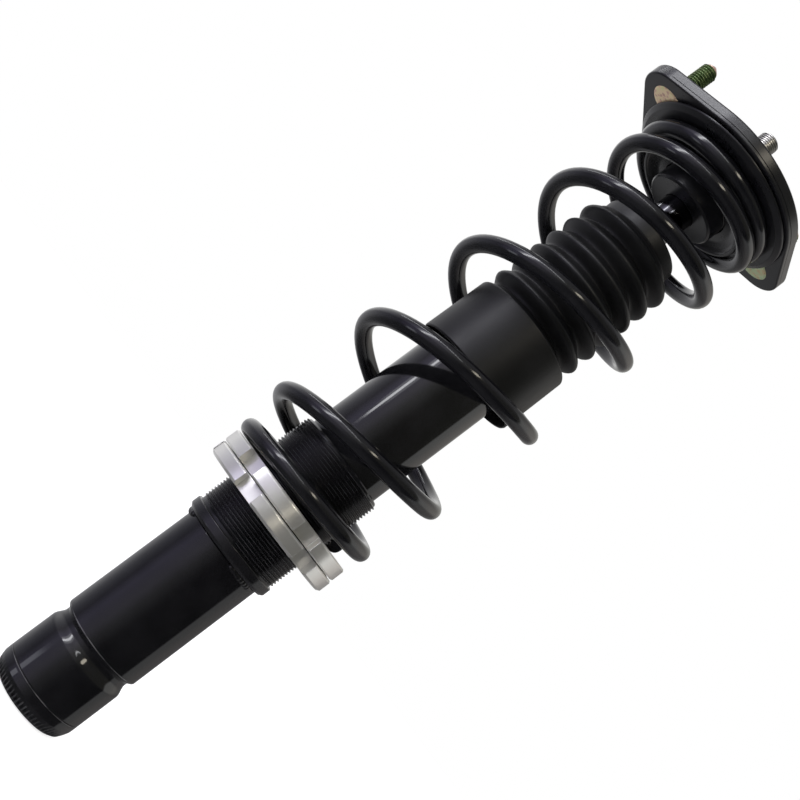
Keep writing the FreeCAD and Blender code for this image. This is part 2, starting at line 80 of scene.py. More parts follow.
LOOKS = {}


def box_mm(node):
    """A node's lowest and highest corners, in millimetres."""
    low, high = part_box(node)
    return [value / MM for value in low], [value / MM for value in high]


def heights(node):
    low, high = box_mm(node)
    return low[2], high[2]


# ---------------------------------------------------------------- mesh helpers

def finish_piece(name, build, body, node, slot):
    """Turn a bmesh in millimetres into a piece that stands for a CAD node and rides on a body."""
    bmesh.ops.remove_doubles(build, verts=build.verts, dist=WELD_WITHIN)
    bmesh.ops.dissolve_degenerate(build, edges=build.edges, dist=WELD_WITHIN)
    bmesh.ops.recalc_face_normals(build, faces=build.faces)
    bmesh.ops.scale(build, vec=(MM, MM, MM), verts=build.verts)
    mesh = bpy.data.meshes.new(name)
    build.to_mesh(mesh)
    build.free()
    mesh.shade_smooth()
    mesh.set_sharp_from_angle(angle=SMOOTH_BELOW)
    piece = bpy.data.objects.new(name, mesh)
    bpy.context.collection.objects.link(piece)
    mesh.materials.append(LOOKS[slot])
    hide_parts(node)
    if body:
        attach(piece, body)
    return piece


def apply_modifiers(piece):
    """Keep the mesh that a piece's modifiers make, and drop the modifiers."""
    scene_graph = bpy.context.evaluated_depsgraph_get()
    made = bpy.data.meshes.new_from_object(piece.evaluated_get(scene_graph))
    piece.modifiers.clear()
    piece.data = made


def soften(piece, width):
    """Round every sharp edge by a small width in millimetres, with flat faces kept flat."""
    bevel = piece.modifiers.new("edge", "BEVEL")
    bevel.width = width * MM
    bevel.segments = 2
    bevel.limit_method = "ANGLE"
    bevel.angle_limit = SMOOTH_BELOW
    weigh_normals(piece)


def weigh_normals(piece):
    """Shade by the large faces, so that narrow rounded edges don't darken flat ones."""
    weighted = piece.modifiers.new("normals", "WEIGHTED_NORMAL")
    weighted.keep_sharp = True
    apply_modifiers(piece)


ARC_STEPS = 6


def rounded(corners):
    """An outline from (x, y, corner radius) triples, each corner turned into an arc."""
    points = []
    for index, (x, y, radius) in enumerate(corners):
        here = Vector((x, y))
        to_last = (Vector(corners[index - 1][:2]) - here).normalized()
        to_next = (Vector(corners[(index + 1) % len(corners)][:2]) - here).normalized()
        half = to_last.angle(to_next) / 2
        if radius <= 0 or half > math.pi / 2 - 0.01:
            points.append((x, y))
            continue
        centre = here + (to_last + to_next).normalized() * (radius / math.sin(half))
        start = here + to_last * (radius / math.tan(half)) - centre
        end = here + to_next * (radius / math.tan(half)) - centre
        turn = math.pi - 2 * half
        for step in range(ARC_STEPS + 1):
            share = step / ARC_STEPS
            spoke = start * math.sin((1 - share) * turn) + end * math.sin(share * turn)
            points.append(tuple(centre + spoke / math.sin(turn)))
    return points


def circle(radius, steps, x=0.0, y=0.0):
    """Points round a circle, the first towards +X."""
    turns = [TAU * step / steps for step in range(steps)]
    return [(x + radius * math.cos(turn), y + radius * math.sin(turn)) for turn in turns]


def turned(x, y, turn):
    """A point after a turn about Z."""
    return x * math.cos(turn) - y * math.sin(turn), x * math.sin(turn) + y * math.cos(turn)


def skin(build, loops):
    """Join each closed loop of vertices to the next with quads."""
    for low, high in zip(loops, loops[1:]):
        for index in range(len(low)):
            after = (index + 1) % len(low)
            build.faces.new((low[index], low[after], high[after], high[index]))


def lathe(build, outline, steps=ROUND_STEPS, shape=None):
    """Turn a closed (radius, height) outline about Z; shape may move each point."""
    rings = []
    for step in range(steps):
        angle = TAU * step / steps
        ring = []
        for radius, height in outline:
            spot = Vector((radius * math.cos(angle), radius * math.sin(angle), height))
            ring.append(build.verts.new(shape(spot, radius, angle) if shape else spot))
        rings.append(ring)
    count = len(outline)
    for step, ring in enumerate(rings):
        following = rings[(step + 1) % steps]
        for index in range(count):
            after = (index + 1) % count
            build.faces.new((ring[index], following[index], following[after], ring[after]))


def turned_piece(name, corners, body, node, slot, steps=ROUND_STEPS, shape=None):
    """A lathe piece from (radius, height, corner radius) triples."""
    build = bmesh.new()
    lathe(build, rounded(corners), steps, shape)
    piece = finish_piece(name, build, body, node, slot)
    weigh_normals(piece)


# One pitch of a thread: (share of the pitch, share of the depth).
THREAD_SECTION = ((0.0, 0.0), (0.13, 0.0), (0.5, 1.0), (0.63, 1.0))


def helix_thread(build, base, top, crest, depth, pitch, bore=0.0, limit=None, steps=96, centre=(0, 0)):
    """A right-hand screw thread between two heights, closed to a solid or round a bore."""
    rows = []
    for turn in range(-2, math.ceil((top - base) / pitch) + 2):
        for phase, share in THREAD_SECTION:
            row = []
            for step in range(steps):
                height = base + pitch * (turn + phase + step / steps)
                radius = crest - depth * share
                radius = min(radius, limit(height)) if limit else radius
                angle = TAU * step / steps
                row.append(build.verts.new((centre[0] + radius * math.cos(angle),
                                            centre[1] + radius * math.sin(angle), height)))
            rows.append(row)
    pitch_rows = len(THREAD_SECTION)
    made = []
    for number in range(len(rows) - 1):
        for step in range(steps):
            if step + 1 < steps:
                corners = (rows[number][step], rows[number][step + 1],
                           rows[number + 1][step + 1], rows[number + 1][step])
            elif number + 1 + pitch_rows < len(rows):
                corners = (rows[number][step], rows[number + pitch_rows][0],
                           rows[number + 1 + pitch_rows][0], rows[number + 1][step])
            else:
                continue
            made.append(build.faces.new(corners))
    # A dictionary's keys, not a set, so that the order is the same each run.
    parts = list(dict.fromkeys(part for face in made for part in (*face.verts, *face.edges, face)))
    for height, away in ((base, -1), (top, 1)):
        cut = bmesh.ops.bisect_plane(build, geom=parts, dist=1e-5, plane_co=(0, 0, height),
                                     plane_no=(0, 0, away), clear_outer=True)
        parts = [part for part in dict.fromkeys(cut["geom"] + cut["geom_cut"]) if part.is_valid]
    loose = [vert for vert in build.verts if not vert.link_faces]
    bmesh.ops.delete(build, geom=loose, context="VERTS")
    rims = {}
    for height in (base, top):
        rims[height] = [edge for edge in build.edges if edge.is_boundary
                        and all(abs(vert.co.z - height) < 1e-3 for vert in edge.verts)]
    if not bore:
        for height in (base, top):
            bmesh.ops.edgeloop_fill(build, edges=rims[height])
        return
    walls = []
    for height in (base, top):
        ring = [build.verts.new((x, y, height)) for x, y in circle(bore, steps, *centre)]
        inner = [build.edges.new((ring[step], ring[(step + 1) % steps])) for step in range(steps)]
        bmesh.ops.bridge_loops(build, edges=rims[height] + inner)
        walls.append(inner)
    bmesh.ops.bridge_loops(build, edges=walls[0] + walls[1])


def slab(build, outline, levels, holes=()):
    """A plate: outline(inset) gives its rim, levels are (height, inset), holes are (x, y, radius)."""
    loops = []
    for height, inset in levels:
        loops.append([build.verts.new((x, y, height)) for x, y in outline(inset)])
    stacks = [loops]
    for x, y, radius in holes:
        rim = circle(radius, HOLE_STEPS, x, y)
        stacks.append([[build.verts.new((a, b, levels[level][0])) for a, b in rim] for level in (0, -1)])
    for stack in stacks:
        skin(build, stack)
    for end in (0, -1):
        edges = []
        for stack in stacks:
            loop = stack[end]
            edges += [build.edges.get((loop[index], loop[index - 1])) for index in range(len(loop))]
        bmesh.ops.triangle_fill(build, use_beauty=True, use_dissolve=False, edges=edges)


# ---------------------------------------------------------------- materials

class Tree:
    """Short names for the nodes of one material or world."""

    def __init__(self, owner):
        owner.use_nodes = True
        self.tree = owner.node_tree

    def feed(self, socket, value):
        """Give an input another node's output or a plain value."""
        if isinstance(value, bpy.types.NodeSocket):
            self.tree.links.new(value, socket)
        else:
            socket.default_value = value

    def add(self, kind, inputs=None, **settings):
        node = self.tree.nodes.new(kind)
        for name, value in settings.items():
            setattr(node, name, value)
        for name, value in (inputs or {}).items():
            self.feed(node.inputs[name], value)
        return node

    def split(self, place):
        """A vector's X, Y and Z."""
        return self.add("ShaderNodeSeparateXYZ", {"Vector": place}).outputs

    def remap(self, value, low, high, start=0.3, stop=0.7, **settings):
        limits = {"From Min": start, "From Max": stop, "To Min": low, "To Max": high}
        node = self.add("ShaderNodeMapRange", {**limits, "Value": value}, clamp=True, **settings)
        return node.outputs["Result"]

    def ramp(self, value, *stops):
        """Colours by value: stops are (place, colour)."""
        node = self.add("ShaderNodeValToRGB", {"Fac": value})
        elements = node.color_ramp.elements
        while len(elements) < len(stops):
            elements.new(0.5)
        for element, (place, colour) in zip(elements, stops):
            element.position = place
            element.color = (*colour, 1.0)
        return node.outputs["Color"]

    def combine(self, operation, first, second=0.0):
        """A sum on one or two values, each a socket or a number."""
        return self.add("ShaderNodeMath", {0: first, 1: second}, operation=operation).outputs["Value"]

    def mix(self, factor, first, second):
        node = self.add("ShaderNodeMix", data_type="RGBA")
        for name, value in (("Factor", factor), ("A", first), ("B", second)):
            sockets = [socket for socket in node.inputs if socket.name == name and socket.enabled]
            self.feed(sockets[0], (*value, 1.0) if isinstance(value, tuple) else value)
        return [socket for socket in node.outputs if socket.enabled][0]

    def closeness(self, value, centre, near, far):
        """1 within near of a centre, falling to 0 at far."""
        away = self.combine("ABSOLUTE", self.combine("SUBTRACT", value, centre))
        return self.remap(away, 1.0, 0.0, near, far)


class Look(Tree):
    """The nodes of one material; lengths are given in millimetres."""

    def __init__(self, name):
        self.material = bpy.data.materials.new(name)
        super().__init__(self.material)
        self.shader = self.tree.nodes["Principled BSDF"]
        self.coordinates = self.add("ShaderNodeTexCoord").outputs["Object"]

    def noise(self, size, detail=3.0, roughness=0.55, stretch=None):
        """A noise pattern whose features are about size millimetres across."""
        place = self.coordinates
        if stretch:
            place = self.add("ShaderNodeMapping", {"Scale": stretch, "Vector": place}).outputs["Vector"]
        return self.add("ShaderNodeTexNoise", {
            "Scale": 1.0 / (size * MM), "Detail": detail, "Roughness": roughness,
            "Vector": place}).outputs["Fac"]

    def cells(self, size):
        """Distance to the nearest of many scattered points about size millimetres apart."""
        return self.add("ShaderNodeTexVoronoi", {
            "Scale": 1.0 / (size * MM), "Vector": self.coordinates}).outputs["Distance"]

    def lines(self, kind, pitch):
        """Fine machined lines round Z: BANDS up a side, RINGS across a flat face."""
        return self.add("ShaderNodeTexWave", {
            "Scale": 1.0 / (pitch * MM) / 3.1416, "Distortion": 0.6, "Vector": self.coordinates},
            wave_type=kind, bands_direction="Z", rings_direction="Z").outputs["Fac"]

    def bump(self, *layers):
        """Bump from (height, depth in millimetres) layers."""
        below = {}
        for height, depth in layers:
            node = self.add("ShaderNodeBump", {
                "Strength": 1.0, "Distance": depth * MM, "Height": height, **below})
            below = {"Normal": node.outputs["Normal"]}
        self.set("Normal", below["Normal"])

    def set(self, name, value):
        """Give one input of the shader an output or a plain value."""
        self.feed(self.shader.inputs[name], value)

    def colour(self, source):
        self.set("Base Color", source)

    def tint(self, amount, colour):
        """Blend the colour so far towards another one."""
        self.colour(self.mix(amount, self.shader.inputs["Base Color"].links[0].from_socket, colour))

    def rough(self, source):
        self.set("Roughness", source)

    def place(self):
        return self.split(self.coordinates)

    def from_height(self, low, high):
        """0 below a height, 1 above a second one."""
        return self.remap(self.place()["Z"], 0.0, 1.0, low * MM, high * MM)

    def radius(self):
        """Distance from the Z axis, in metres."""
        place = self.place()
        return self.combine("SQRT", self.combine("ADD", self.combine("MULTIPLY", place["X"], place["X"]),
                                                 self.combine("MULTIPLY", place["Y"], place["Y"])))


def black_finish(name, dark, light, roughness, peel, depth, wear=0.0, specular=0.5):
    """Black paint, coating or polymer: cloudy colour, scuffs along Z, and a fine skin."""
    nodes = Look(name)
    clouds = nodes.noise(18, detail=4)
    specks = nodes.noise(1.1, detail=2)
    nodes.colour(nodes.ramp(clouds, (0.35, dark), (0.68, light)))
    scuffs = nodes.noise(2.2, detail=5, stretch=(1.0, 1.0, 0.16))
    base = nodes.remap(clouds, roughness[0], roughness[1])
    marks = nodes.remap(scuffs, 0.0, 0.01 + wear, 0.55, 0.8)
    nodes.rough(nodes.combine("ADD", base, nodes.combine("MAXIMUM", marks, nodes.remap(specks, 0, 0.006))))
    nodes.bump((nodes.noise(peel, detail=2, roughness=0.45), depth),
               (nodes.noise(peel * 7, detail=3), depth * 1.6))
    nodes.set("Specular IOR Level", specular)
    return nodes


def metal_finish(name, dark, light, roughness, line_pitch, depth, anisotropy=0.0):
    """Bare or plated metal: stained colour, handling marks and machined lines."""
    nodes = Look(name)
    stains = nodes.noise(14, detail=3)
    fine = nodes.noise(0.7, detail=4)
    nodes.colour(nodes.ramp(stains, (0.3, dark), (0.7, light)))
    smears = nodes.remap(fine, 0.0, 0.03)
    nodes.rough(nodes.combine("ADD", nodes.remap(stains, roughness[0], roughness[1]), smears))
    nodes.set("Metallic", 1.0)
    layers = [(fine, depth)]
    if line_pitch:
        layers.append((nodes.lines("BANDS", line_pitch), depth))
        layers.append((nodes.lines("RINGS", line_pitch), depth))
    nodes.bump(*layers)
    if anisotropy:
        nodes.set("Anisotropic", anisotropy)
        nodes.set("Anisotropic Rotation", 0.25)
        tangent = nodes.add("ShaderNodeTangent", direction_type="RADIAL", axis="Z")
        nodes.set("Tangent", tangent.outputs["Tangent"])
    return nodes


def painted_rim_highlights(nodes, edges, half_width, bright):
    """Painted highlight: lighten thin lines round Z along sharp edges, where an edge would catch the light.
    """
    height = nodes.place()["Z"]
    patchy = nodes.remap(nodes.noise(9, detail=4), 0.1, 0.9, 0.38, 0.62)
    for edge in edges:
        line = nodes.closeness(height, edge * MM, half_width * 0.4 * MM, half_width * MM)
        nodes.tint(nodes.combine("MULTIPLY", line, patchy), bright)


def painted_crimp_highlights(nodes, bright):
    """Painted highlight: lighten the ridges between the cap's crimp marks, where they would catch the light.
    """
    place = nodes.place()
    turn = nodes.combine("ARCTAN2", place["Y"], place["X"])
    share = nodes.combine("FRACT", nodes.combine("MULTIPLY", turn, CRIMPS / TAU))
    off_mark = nodes.combine("ABSOLUTE", nodes.combine("SUBTRACT", share, 0.5))
    ridge = nodes.remap(off_mark, 0.0, 1.0, 0.28, 0.42)
    band = nodes.closeness(place["Z"], CRIMP_HEIGHT * MM, CRIMP_BAND * 0.7 * MM, CRIMP_BAND * MM)
    patchy = nodes.remap(nodes.noise(5, detail=3), 0.3, 1.0, 0.35, 0.65)
    nodes.tint(nodes.combine("MULTIPLY", nodes.combine("MULTIPLY", ridge, band), patchy), bright)


def thread_wear_and_highlight(nodes, crest, depth, above, bright):
    """Lighten a thread above a height towards its crests, partly where the coating rubs thin and partly as a
    painted highlight.
    """
    near_crest = nodes.remap(nodes.radius(), 0.0, 1.0, (crest - depth * 0.35) * MM, crest * MM)
    near_crest = nodes.combine("MULTIPLY", near_crest, nodes.from_height(above, above + 0.5))
    patchy = nodes.remap(nodes.noise(9, detail=3), 0.3, 1.0, 0.4, 0.7)
    nodes.tint(nodes.combine("MULTIPLY", near_crest, patchy), bright)


ZINC_HEAD_LEFT = ((0.36, (0.50, 0.30, 0.24)), (0.47, (0.80, 0.62, 0.42)), (0.62, (0.72, 0.66, 0.38)))
ZINC_HEAD_RIGHT = ((0.36, (0.52, 0.42, 0.24)), (0.47, (0.50, 0.56, 0.34)), (0.62, (0.44, 0.56, 0.36)))
ZINC_THREAD = ((0.36, (0.08, 0.12, 0.05)), (0.6, (0.20, 0.26, 0.12)), (0.75, (0.26, 0.22, 0.11)))
ZINC_TIP = (0.72, 0.48, 0.40)


def zinc_yellow():
    """Yellow passivated zinc: cream to green over the heads, green threads, pinkish tips."""
    nodes = Look("zinc_yellow")
    drift = nodes.noise(3.0, detail=4)
    fine = nodes.noise(0.5, detail=4)
    left, right = nodes.ramp(drift, *ZINC_HEAD_LEFT), nodes.ramp(drift, *ZINC_HEAD_RIGHT)
    thread = nodes.ramp(drift, *ZINC_THREAD)
    head = nodes.mix(nodes.remap(nodes.place()["X"], 0.0, 1.0, -0.01, 0.01), left, right)
    plate_top, tip = heights("mount_plate")[1], STUD["thread_top"]
    nodes.colour(nodes.mix(nodes.from_height(plate_top - 3, plate_top - 2), head, thread))
    nodes.tint(nodes.from_height(tip - 0.2, tip + 0.4), ZINC_TIP)
    nodes.rough(nodes.combine("ADD", nodes.remap(drift, 0.26, 0.4), nodes.remap(fine, 0.0, 0.1)))
    nodes.set("Metallic", 0.75)
    nodes.bump((fine, 0.012))
    return nodes


def foam():
    nodes = Look("bump_foam")
    pores = nodes.cells(0.9)
    nodes.colour(nodes.ramp(nodes.noise(6, detail=4), (0.3, (0.60, 0.50, 0.20)), (0.7, (0.74, 0.66, 0.34))))
    nodes.rough(nodes.remap(pores, 0.95, 0.75, 0.0, 0.6))
    nodes.bump((pores, 0.25))
    return nodes


# Material slot: what black_finish takes after the name.
BLACK_LOOKS = {
    "gloss_black_paint": ((0.0035, 0.0035, 0.0042), (0.0065, 0.0065, 0.0075), (0.065, 0.085), 2.0, 0.0005),
    "sleeve_black": ((0.0035, 0.0035, 0.0045), (0.008, 0.008, 0.009), (0.13, 0.16), 0.8, 0.0005, 0.01),
    "spring_black": ((0.0035, 0.0035, 0.0045), (0.0065, 0.0065, 0.0078), (0.12, 0.14), 2.0, 0.0005),
    "boot_polymer": (
        (0.0026, 0.0026, 0.0030), (0.0050, 0.0050, 0.0056), (0.42, 0.48), 0.45, 0.004, 0.05, 0.38),
    "mount_black": ((0.0032, 0.0032, 0.0042), (0.0065, 0.0065, 0.0078), (0.26, 0.30), 0.7, 0.004, 0.03),
    "mount_rubber": ((0.010, 0.010, 0.010), (0.018, 0.018, 0.018), (0.55, 0.7), 0.4, 0.02),
    "seal_rubber": ((0.010, 0.010, 0.010), (0.020, 0.020, 0.020), (0.45, 0.6), 0.3, 0.01),
    "slide_polymer": ((0.06, 0.06, 0.06), (0.10, 0.10, 0.10), (0.4, 0.5), 0.3, 0.006)}

# Material slot: what metal_finish takes after the name.
METAL_LOOKS = {
    "ring_aluminium": ((0.80, 0.79, 0.76), (0.88, 0.87, 0.84), (0.29, 0.34), 0.22, 0.0005, 0.9),
    "steel_plain": ((0.42, 0.42, 0.43), (0.58, 0.58, 0.59), (0.26, 0.38), 0.3, 0.002),
    "sintered_iron": ((0.16, 0.16, 0.17), (0.26, 0.26, 0.27), (0.5, 0.65), None, 0.02),
    "bush_bronze": ((0.48, 0.32, 0.16), (0.64, 0.46, 0.25), (0.32, 0.45), 0.3, 0.003),
    "rod_chrome": ((0.065, 0.065, 0.07), (0.09, 0.09, 0.095), (0.05, 0.08), 0.2, 0.0004),
    "bearing_steel": ((0.55, 0.55, 0.56), (0.66, 0.66, 0.67), (0.12, 0.2), 0.3, 0.001),
    "nut_zinc": ((0.52, 0.52, 0.50), (0.68, 0.68, 0.65), (0.28, 0.4), 0.5, 0.004)}
ROD_THREAD_STEEL = (0.52, 0.51, 0.49)
# Colour of the painted highlight along the cap seam and the groove's upper lip.
PAINTED_EDGE_HIGHLIGHT = (0.13, 0.13, 0.135)
# Colour of the painted highlight on the ridges between the crimp marks.
CRIMP_RIDGE_HIGHLIGHT = (0.035, 0.035, 0.037)
# Colour of the thread crests: partly coating rubbed thin, partly a painted highlight.
THREAD_CREST_WEAR_AND_HIGHLIGHT = (0.022, 0.022, 0.024)


def dull_rod_thread(nodes):
    """The rod's turned-down thread above the dark, mirror-like shank is plain steel."""
    bare = nodes.from_height(ROD["shoulder"] - 1, ROD["shoulder"])
    nodes.tint(bare, ROD_THREAD_STEEL)
    shine = nodes.shader.inputs["Roughness"].links[0].from_socket
    nodes.rough(nodes.combine("ADD", shine, nodes.combine("MULTIPLY", bare, 0.25)))


def make_looks():
    looks = {slot: black_finish(slot, *values) for slot, values in BLACK_LOOKS.items()}
    looks.update({slot: metal_finish(slot, *values) for slot, values in METAL_LOOKS.items()})
    looks.update({"zinc_yellow": zinc_yellow(), "bump_foam": foam()})
    dull_rod_thread(looks["rod_chrome"])
    looks["ring_aluminium"].set("Metallic", 0.9)
    # Lighter thread crests: partly worn coating, partly a painted highlight.
    thread_wear_and_highlight(looks["sleeve_black"], THREAD_CREST, THREAD_DEPTH, COLLAR_TOP, THREAD_CREST_WEAR_AND_HIGHLIGHT)
    # Thin light lines at the cap seam and the groove's upper lip are painted highlights.
    seams = (heights("strut_tube")[0] - 0.1, GROOVE["high_edge"] - 0.3)
    painted_rim_highlights(looks["gloss_black_paint"], seams, 0.3, PAINTED_EDGE_HIGHLIGHT)
    # Light dashes on the crimp ridges are painted highlights.
    painted_crimp_highlights(looks["gloss_black_paint"], CRIMP_RIDGE_HIGHLIGHT)
    LOOKS.update({slot: nodes.material for slot, nodes in looks.items()})


def paint_cad_nodes():
    """Every carried-over CAD node gets its slot's material."""
    for part in frame["record"]["subparts"]:
        node = frame["nodes"][part["node"]]
        node.data.materials.clear()
        node.data.materials.append(LOOKS[part["material_slot"]])


# ---------------------------------------------------------------- strut body

GROOVE = {"low_edge": 33.2, "low": 39.6, "high": 41.4, "high_edge": 44.4, "depth": 2.15}
GROOVE_STEPS = 14
TUBE_RADIUS = 25.0
TUBE_WALL = 2.5
UPPER_TUBE_FROM = 115.0
UPPER_TUBE_RADIUS = 24.6
THREAD_CREST = 28.0
THREAD_DEPTH = 1.0
THREAD_PITCH = 1.75
COLLAR_TOP = 121.4
COLLAR_RADIUS = 28.7


def strut_tube():
    """Gloss painted tube with a rolled groove: a soft lower lip and a crisp upper one."""
    base, top = heights("strut_tube")
    depth, inside = GROOVE["depth"], TUBE_RADIUS - TUBE_WALL
    corners = [(inside, base, 0), (TUBE_RADIUS - 0.35, base, 0.3), (TUBE_RADIUS, base + 0.5, 0.8)]
    for step in range(GROOVE_STEPS + 1):
        share = step / GROOVE_STEPS
        height = GROOVE["low_edge"] + share * (GROOVE["low"] - GROOVE["low_edge"])
        corners.append((TUBE_RADIUS - depth * smooth(share), height, 0))
    corners += [
        (TUBE_RADIUS - depth, GROOVE["high"], 0.9), (TUBE_RADIUS - 1.1, GROOVE["high"] + 1.3, 0.5),
        (TUBE_RADIUS, GROOVE["high_edge"] - 1.0, 0.9), (TUBE_RADIUS, UPPER_TUBE_FROM - 0.6, 0.5),
        (UPPER_TUBE_RADIUS, UPPER_TUBE_FROM, 0.5), (UPPER_TUBE_RADIUS, top, 1.0),
        (inside, top, 0.6), (inside, GROOVE["high_edge"] + 2, 4), (inside - 1.6, 40, 4),
        (inside, GROOVE["low_edge"] - 2, 4)]
    turned_piece("strut_tube_painted", corners, "strut_body", "strut_tube", "gloss_black_paint",
                 FINE_ROUND_STEPS)


CRIMPS = 64
CRIMP_STEPS = 8
CRIMP_DEPTH = 1.0
CRIMP_HEIGHT = 3.0
CRIMP_BAND = 2.4
CAP_BORE = 20.5
CAP_FLOOR = 4.0
CAP_PLUG = TUBE_RADIUS - 2.6


def base_cap():
    """Pressed cap whose rolled rim carries a ring of short crimp marks."""
    base, top = heights("base_cap")
    seam = heights("strut_tube")[0]

    def crimp(spot, radius, angle):
        across = (angle * CRIMPS / TAU) % 1.0
        mark = max(0.0, 1.0 - abs(across - 0.5) / 0.3)
        band = max(0.0, 1.0 - abs(spot.z - CRIMP_HEIGHT) / CRIMP_BAND) * (1.0 if radius > CAP_BORE else 0.0)
        shrink = 1.0 - CRIMP_DEPTH * mark * band / max(radius, 1.0)
        return Vector((spot.x * shrink, spot.y * shrink, spot.z))

    corners = [
        (0.0, base, 0), (19.2, base, 2.4), (21.0, base + 0.35, 1.0), (22.9, base + 1.7, 0.9),
        (23.6, base + 3.2, 0.9), (24.3, base + 4.9, 0.9), (TUBE_RADIUS - 0.1, base + 7.0, 1.5),
        (TUBE_RADIUS, seam - 1.4, 1.0), (TUBE_RADIUS - 0.05, seam - 0.08, 0.12),
        (TUBE_RADIUS - 0.25, seam - 0.05, 0), (CAP_PLUG, seam, 0), (CAP_PLUG, top, 0.4),
        (CAP_BORE, top, 0.4), (CAP_BORE, CAP_FLOOR, 1.0), (0.0, CAP_FLOOR, 0)]
    turned_piece("base_cap_pressed", corners, "strut_body", "base_cap", "gloss_black_paint",
                 CRIMPS * CRIMP_STEPS, crimp)


def threaded_sleeve():
    """Sleeve with a helical thread above a plain collar."""
    base, top = heights("threaded_sleeve")
    chamfer, run_in = 1.6, 1.3
    bore = UPPER_TUBE_RADIUS + 0.03
    build = bmesh.new()
    lathe(build, rounded([
        (bore, base, 0), (COLLAR_RADIUS - 1.5, base, 0.5), (COLLAR_RADIUS, base + 1.5, 1.0),
        (COLLAR_RADIUS, COLLAR_TOP - 0.5, 0.3), (COLLAR_RADIUS - 0.5, COLLAR_TOP, 0.2),
        (bore, COLLAR_TOP, 0)]))

    def limit(height):
        start = THREAD_CREST - THREAD_DEPTH if height < COLLAR_TOP + run_in else THREAD_CREST
        return min(start, THREAD_CREST - max(0.0, height - (top - chamfer)))

    helix_thread(build, COLLAR_TOP, top, THREAD_CREST, THREAD_DEPTH, THREAD_PITCH, bore, limit, 128)
    finish_piece("threaded_sleeve_cut", build, "strut_body", "threaded_sleeve", "sleeve_black")


BEAD = {"count": 3, "arc": 44.0, "turn": -75.0, "radius": 1.9, "ripples": 9, "along": 64, "around": 16}


def bead_ring(number, share):
    """The section of one weld at a share of its length: rippled, wandering, thin at both ends."""
    base = heights("threaded_sleeve")[0]
    angle = math.radians(BEAD["turn"] + number * 360.0 / BEAD["count"]) + math.radians(BEAD["arc"]) * share
    ends = math.sqrt(max(0.0, 1 - (2 * share - 1) ** 6))
    ripple = 0.86 + 0.14 * abs(math.sin(share * math.pi * BEAD["ripples"] + number))
    size = BEAD["radius"] * max(ends * ripple, 0.03)
    wander = 0.18 * math.sin(share * 11 + number * 2)
    points = []
    for around in range(BEAD["around"]):
        lean = TAU * around / BEAD["around"]
        out = UPPER_TUBE_RADIUS + 0.5 + size * 0.95 * math.cos(lean)
        up = base - 1.0 + wander + size * math.sin(lean)
        points.append((out * math.cos(angle), out * math.sin(angle), min(up, base + 0.2)))
    return points


def weld_beads():
    """Short hand-laid welds under the sleeve, with soft ends."""
    build = bmesh.new()
    for number in range(BEAD["count"]):
        rings = [[build.verts.new(point) for point in bead_ring(number, along / BEAD["along"])]
                 for along in range(BEAD["along"] + 1)]
        skin(build, rings)
        build.faces.new(rings[0])
        build.faces.new(rings[-1])
    finish_piece("weld_beads_laid", build, "strut_body", "weld_beads", "gloss_black_paint")


# ---------------------------------------------------------------- spanner rings

RING = {"radius": 43.5, "slot_floor": 38.0, "half_width": 6.5, "slots": 6, "bore": 28.06}
RING_TURNS = {"seat_ring": -66.8, "lock_ring": -53.4}
RING_CHAMFERS = {"seat_ring": (0.9, 0.9), "lock_ring": (1.6, 0.9)}
RIM_STEPS = 16


def ring_outline(turn):
    """The rim of a slotted ring, as a function of how far its round parts are inset."""
    def outline(inset):
        radius = RING["radius"] - inset
        edge = math.asin(RING["half_width"] / radius)
        points = []
        for number in range(RING["slots"]):
            middle = math.radians(turn) + number * TAU / RING["slots"]
            for side in (-1, 1):
                points.append((middle, RING["slot_floor"], side * RING["half_width"]))
            start, stop = edge, TAU / RING["slots"] - edge
            for step in range(RIM_STEPS + 1):
                angle = start + (stop - start) * step / RIM_STEPS
                points.append((middle, radius * math.cos(angle), radius * math.sin(angle)))
        return [turned(x, y, middle) for middle, x, y in points]
    return outline


def spanner_ring(node):
    """A turned ring with milled slots for a C-spanner and a chamfer at each end."""
    base, top = heights(node)
    low, high = RING_CHAMFERS[node]
    levels = [(base, low), (base + low * 0.8, 0.0), (top - high, 0.0), (top, high)]
    build = bmesh.new()
    slab(build, ring_outline(RING_TURNS[node]), levels, [(0.0, 0.0, RING["bore"])])
    piece = finish_piece(node + "_turned", build, node, node, "ring_aluminium")
    soften(piece, 0.16)


# ---------------------------------------------------------------- spring

SPRING = {
    "wire": 4.7, "base": 155.2, "end_radius": 40.5, "belly_radius": 47.3, "bow": 1.7, "pitch": 61.7,
    "first": 36.0, "last": 2440.0, "rise": (130.0, 750.0), "fall": (1500.0, 2407.0),
    "swell": (300.0, 760.0), "shrink": (1500.0, 2180.0), "taper_end": 2522.0, "taper_wire": 3.0}
WIRE_STEPS = 28
COIL_STEPS = 72
WIRE_LIP = 0.35


def ramp(angle, start, full):
    return min(max((angle - start) / (full - start), 0.0), 1.0)


def smooth(share):
    return share * share * (3 - 2 * share)


def ramp_area(angle, start, full):
    """The area under ramp() from the left up to an angle."""
    if angle <= start:
        return 0.0
    if angle >= full:
        return angle - (start + full) / 2
    return (angle - start) ** 2 / (2 * (full - start))


def wire_at(angle):
    """Wire radius, which thins towards the top end."""
    thin = smooth(ramp(angle, SPRING["last"] - 20, SPRING["taper_end"]))
    return SPRING["wire"] + (SPRING["taper_wire"] - SPRING["wire"]) * thin


